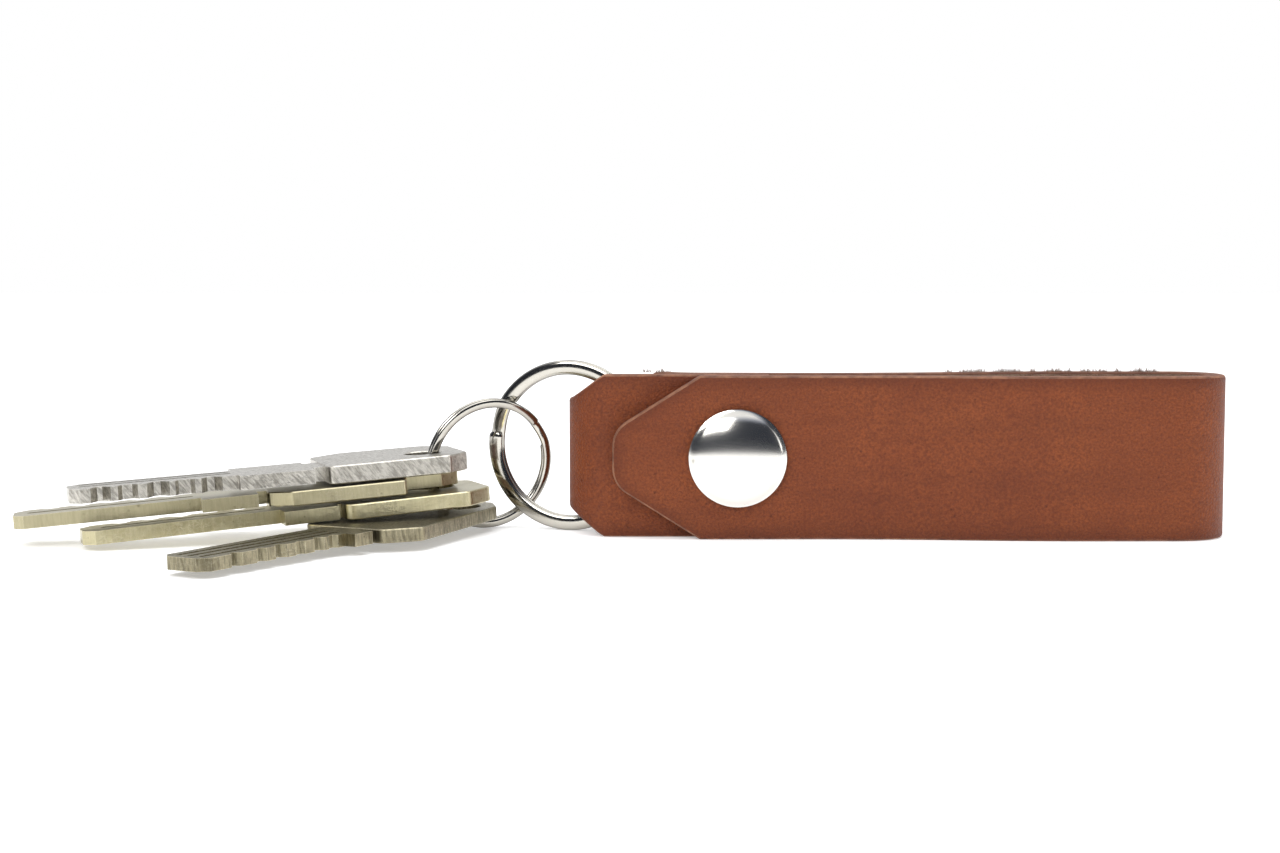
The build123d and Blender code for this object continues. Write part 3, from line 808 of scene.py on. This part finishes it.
fibrePoints, fibreFaces = [], []
for _ in range(nap["tries"]):
    distance = backPath["length"] * random.random()
    aside = half * random.uniform(-nap["spread"], nap["spread"])
    length = random.uniform(*nap["length"]) * random.random()
    lean = random.uniform(-nap["bend"], nap["bend"])
    curl = random.uniform(-nap["bend"], nap["bend"]) * nap["curl"]
    x, y, heading = pathAt(backPath, distance)
    thick = sum(math.sin(distance * pace) for pace in nap["clumps"])  # the fibres stand in loose clumps
    if y < eyeLine or x < backLow.x + nap["startX"] or thick < nap["clumpFrom"]:
        continue
    foot = Vector((x - aside * math.sin(heading), y + aside * math.cos(heading), width - nap["sink"]))
    napFibre(fibrePoints, fibreFaces, foot, lean, curl, length + nap["sink"])
strapFibres = meshPiece("strap_back_fibres", fibrePoints, fibreFaces, [leatherFleshSide])
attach(strapFibres, "back")
flatLength = backPath["length"] + flapPath["length"]
print("stage: strap, flat length", round(flatLength, 4), "fibre faces", len(fibreFaces))


# Turned metal
def lathePiece(name, profile, material, segments=128):
    # profile is (radius, y) from the middle of the front round to the middle of the back
    points, faces = [], []
    for radius, y in profile:
        for k in range(segments):
            angle = 2 * math.pi * k / segments
            points.append((radius * math.cos(angle), y, capAxisZ + radius * math.sin(angle)))
    for k in range(len(profile) - 1):
        for m in range(segments):
            a, b = k * segments + m, k * segments + (m + 1) % segments
            faces.append((a, b, b + segments, a + segments))
    faces.append(tuple(range(segments)))
    faces.append(tuple(range(len(points) - segments, len(points))))
    return meshPiece(name, points, faces, [material], None, 45)


cap = {
    "radius": 7.65 * mm, "rim": 0.75 * mm, "steps": 18, "crown": 0.93,  # crown: share of a half round
    "curl": 0.36 * mm, "curlFrom": -62, "curlTurn": 152, "curlSteps": 6, "curlBack": 0.9,
    "middle": 0.02 * mm, "tube": 1.9 * mm, "flare": 1.02, "lip": 0.1 * mm, "bore": 1.3 * mm,
}
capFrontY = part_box("snap_cap")[0].y
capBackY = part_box("snap_cap")[1].y
leatherY = flapY - half


def capProfile():
    curl, tube, lip, bore = cap["curl"], cap["tube"], cap["lip"], cap["bore"]
    profile = [(cap["middle"], capFrontY)]
    rimY = leatherY - cap["rim"]
    fullDrop = 1 - math.sqrt(1 - cap["crown"] ** 2)
    for k in range(1, cap["steps"] + 1):
        share = k / cap["steps"]
        drop = (1 - math.sqrt(1 - (share * cap["crown"]) ** 2)) / fullDrop
        profile.append(((cap["radius"] - curl) * share, capFrontY + (rimY - capFrontY) * drop))
    for k in range(1, cap["curlSteps"] + 1):
        angle = math.radians(cap["curlFrom"] + cap["curlTurn"] * k / cap["curlSteps"])
        profile.append((
            cap["radius"] - curl + curl * math.cos(angle),
            rimY + curl * cap["curlBack"] + curl * math.sin(angle),
        ))
    profile += [(tube * cap["flare"], leatherY + 0.2 * lip), (tube, leatherY + 0.6 * lip)]
    profile += [(tube, capBackY - lip), (tube - lip, capBackY), (bore + lip, capBackY)]
    profile += [(bore, capBackY - lip), (bore, leatherY), (cap["middle"], leatherY)]
    return profile


snapCap = lathePiece("snap_cap_dome", capProfile(), capNickel)
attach(snapCap, "flap")
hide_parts("snap_cap")


# Split rings
def splitRing(name, node, ring):
    # A flattened wire wound twice round, stepping from the front coil to the back one
    low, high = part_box(node)
    centre = (low + high) / 2
    yaw, lean = math.radians(ring["yaw"]), math.radians(ring["lean"])
    across = Vector((math.cos(yaw), math.sin(yaw), 0))
    upward = Vector((-math.sin(yaw) * math.sin(lean), math.cos(yaw) * math.sin(lean), math.cos(lean)))
    axis = across.cross(upward)
    if axis.y > 0:
        axis = -axis
    coil = ring["axial"] / 2
    line = ring["radius"] - ring["radial"] / 2
    step = math.radians(ring["stepAngle"])
    total = 4 * math.pi - step
    count, sides = ring["segments"], ring["sides"]
    section = []
    for k in range(sides):
        angle = 2 * math.pi * k / sides
        c, s = math.cos(angle), math.sin(angle)
        section.append((
            ring["radial"] / 2 * math.copysign(abs(c) ** ring["square"], c),
            coil / 2 * ring["fill"] * math.copysign(abs(s) ** ring["square"], s),
        ))
    points, faces = [], []
    for k in range(count + 1):
        angle = total * k / count
        shift = coil * (0.5 - ease(clamp((angle - 2 * math.pi + step) / step)))
        turn = math.radians(ring["gapAngle"]) + angle
        out = across * math.cos(turn) + upward * math.sin(turn)
        fromEnd = clamp(min(angle, total - angle) / math.radians(ring["endTaper"]))
        slim = ring["endSize"] + (1 - ring["endSize"]) * math.sqrt(fromEnd * (2 - fromEnd))
        for side, deep in section:
            points.append(centre + out * (line + side * slim) + axis * (shift + deep * slim))
    for k in range(count):
        for m in range(sides):
            a, b = k * sides + m, k * sides + (m + 1) % sides
            faces.append((a, b, b + sides, a + sides))
    faces.append(tuple(range(sides)))
    faces.append(tuple(range(count * sides, (count + 1) * sides)))
    piece = meshPiece(name, points, faces, [ringNickel], None, 50)
    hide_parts(node)
    return piece


bigRing = {
    "yaw": -18.5, "lean": 0.0, "radius": 13.6 * mm, "radial": 2.3 * mm, "axial": 2.0 * mm, "gapAngle": 172.0,
    "stepAngle": 26.0, "segments": 440, "sides": 24, "square": 0.86, "fill": 0.98, "endTaper": 3.0,
    "endSize": 0.72,
}
littleRing = dict(
    bigRing, yaw=26.0, lean=-9.0, radius=10.6 * mm, radial=1.35 * mm, axial=1.7 * mm, gapAngle=40.0,
    stepAngle=24.0, segments=400,
)
largeRing = splitRing("large_ring_coils", "large_split_ring", bigRing)
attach(largeRing, "large_ring")
smallRing = splitRing("small_ring_coils", "small_split_ring", littleRing)
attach(smallRing, "small_ring")
print("stage: rings")


# Metal kept from the frame, with its edges rounded
rounding = {"small": 0.06 * mm, "key": 0.10 * mm, "segments": 2, "angle": 28}


def dressNode(name, material, bevelWidth):
    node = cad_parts[name]
    node.data.materials.clear()
    node.data.materials.append(material)
    bevel = node.modifiers.new("rounding", "BEVEL")
    bevel.width = bevelWidth
    bevel.segments = rounding["segments"]
    bevel.limit_method = "ANGLE"
    bevel.angle_limit = math.radians(rounding["angle"])
    bevel.harden_normals = True


for nodeName in ("snap_post", "snap_stud", "snap_socket", "snap_spring"):
    dressNode(nodeName, rivetSteel, rounding["small"])
for nodeName, metal in (
    ("key_top", brightKeyMetal), ("key_second", yellowKeyMetal), ("key_third", stainedKeyMetal),
    ("key_bottom", darkKeyMetal),
):
    dressNode(nodeName, metal, rounding["key"])
print("stage: keys")


# Studio
studio = {
    "floorSize": 3.0, "floorDrop": 0.02 * mm, "floor": tone(250, 250, 250), "floorGrain": tone(244, 244, 244),
    "grainScale": 60.0, "grainShare": 0.1, "floorRough": 0.6, "floorSpecular": 0.2, "floorGlow": 0.34,
    "world": 0.95, "room": 0.045, "roomTone": tone(206, 220, 255), "roomSide": (-0.25, 0.25),
    "roomTop": (0.62, 0.80),
}
reach = studio["floorSize"] / 2
corners = [(-reach, -reach, 0), (reach, -reach, 0), (reach, reach, 0), (-reach, reach, 0)]
floorMesh = bpy.data.meshes.new("floor")
floorMesh.from_pydata(corners, [], [(0, 1, 2, 3)])
floor = bpy.data.objects.new("floor", floorMesh)
floor.location.z = cadLow.z - studio["floorDrop"]
bpy.context.scene.collection.objects.link(floor)
floorPaint, floorTree, floorShader = startMaterial("floorPaint")
floorNoise = noiseField(floorTree, stretched(floorTree), studio["grainScale"], 3.0)
floorNoise = times(floorTree, floorNoise, studio["grainShare"])
floorColour = blendColour(floorTree, floorNoise, studio["floor"], studio["floorGrain"])
floorTree.links.new(floorColour, floorShader.inputs["Base Color"])
floorShader.inputs["Roughness"].default_value = studio["floorRough"]
floorShader.inputs["Specular IOR Level"].default_value = studio["floorSpecular"]
floorShader.inputs["Emission Color"].default_value = (1, 1, 1, 1)
floorShader.inputs["Emission Strength"].default_value = studio["floorGlow"]
floorMesh.materials.append(floorPaint)

world = bpy.data.worlds.new("studioWorld")
bpy.context.scene.world = world
world.use_nodes = True
sky = world.node_tree
backdrop = sky.nodes["Background"]
direction = sky.nodes.new("ShaderNodeTexCoord")
split = sky.nodes.new("ShaderNodeSeparateXYZ")
sky.links.new(direction.outputs["Generated"], split.inputs[0])
toViewer = remap(sky, split.outputs["Y"], *studio["roomSide"], 1.0, 0.0)  # the dim room on the viewer's side
belowBox = remap(sky, split.outputs["Z"], *studio["roomTop"], 1.0, 0.0)
level = remap(sky, times(sky, toViewer, belowBox), 0.0, 1.0, studio["world"], studio["room"])
seen = sky.nodes.new("ShaderNodeLightPath")
level = calc(sky, "MAXIMUM", level, seen.outputs["Is Camera Ray"])
plug(sky, level, backdrop.inputs["Strength"])
sky.links.new(blendColour(sky, level, studio["roomTone"], (1, 1, 1, 1)), backdrop.inputs["Color"])


def softBox(name, place, aim, sizes, power):
    light = bpy.data.lights.new(name, "AREA")
    light.shape = "RECTANGLE"
    light.size, light.size_y = sizes
    light.energy = power
    lamp = bpy.data.objects.new(name, light)
    lamp.location = place
    lamp.rotation_mode = "QUATERNION"
    lamp.rotation_quaternion = (Vector(place) - Vector(aim)).to_track_quat("Z", "Y")
    bpy.context.scene.collection.objects.link(lamp)


middle = (cadLow + cadHigh) / 2
softBox("overheadBox", (0.0, 0.05, 0.80), middle, (0.9, 0.6), 3.6)
softBox("frontBox", (-0.34, -0.62, 0.55), middle, (0.55, 0.36), 4.0)
softBox("rightBox", (0.80, -0.20, 0.30), middle, (0.25, 0.5), 1.2)

camera = {
    "place": (-15.1 * mm, -354.9 * mm, 47.0 * mm), "tilt": 4.8, "lens": 63.98, "sensor": 36.0,
    "nearest": 10 * mm,
}
lens = bpy.data.cameras.new("camera")
lens.lens = camera["lens"]
lens.sensor_width = camera["sensor"]
lens.clip_start = camera["nearest"]
viewer = bpy.data.objects.new("camera", lens)
viewer.location = camera["place"]
viewer.rotation_euler = (math.radians(90 - camera["tilt"]), 0, 0)
bpy.context.scene.collection.objects.link(viewer)
bpy.context.scene.camera = viewer
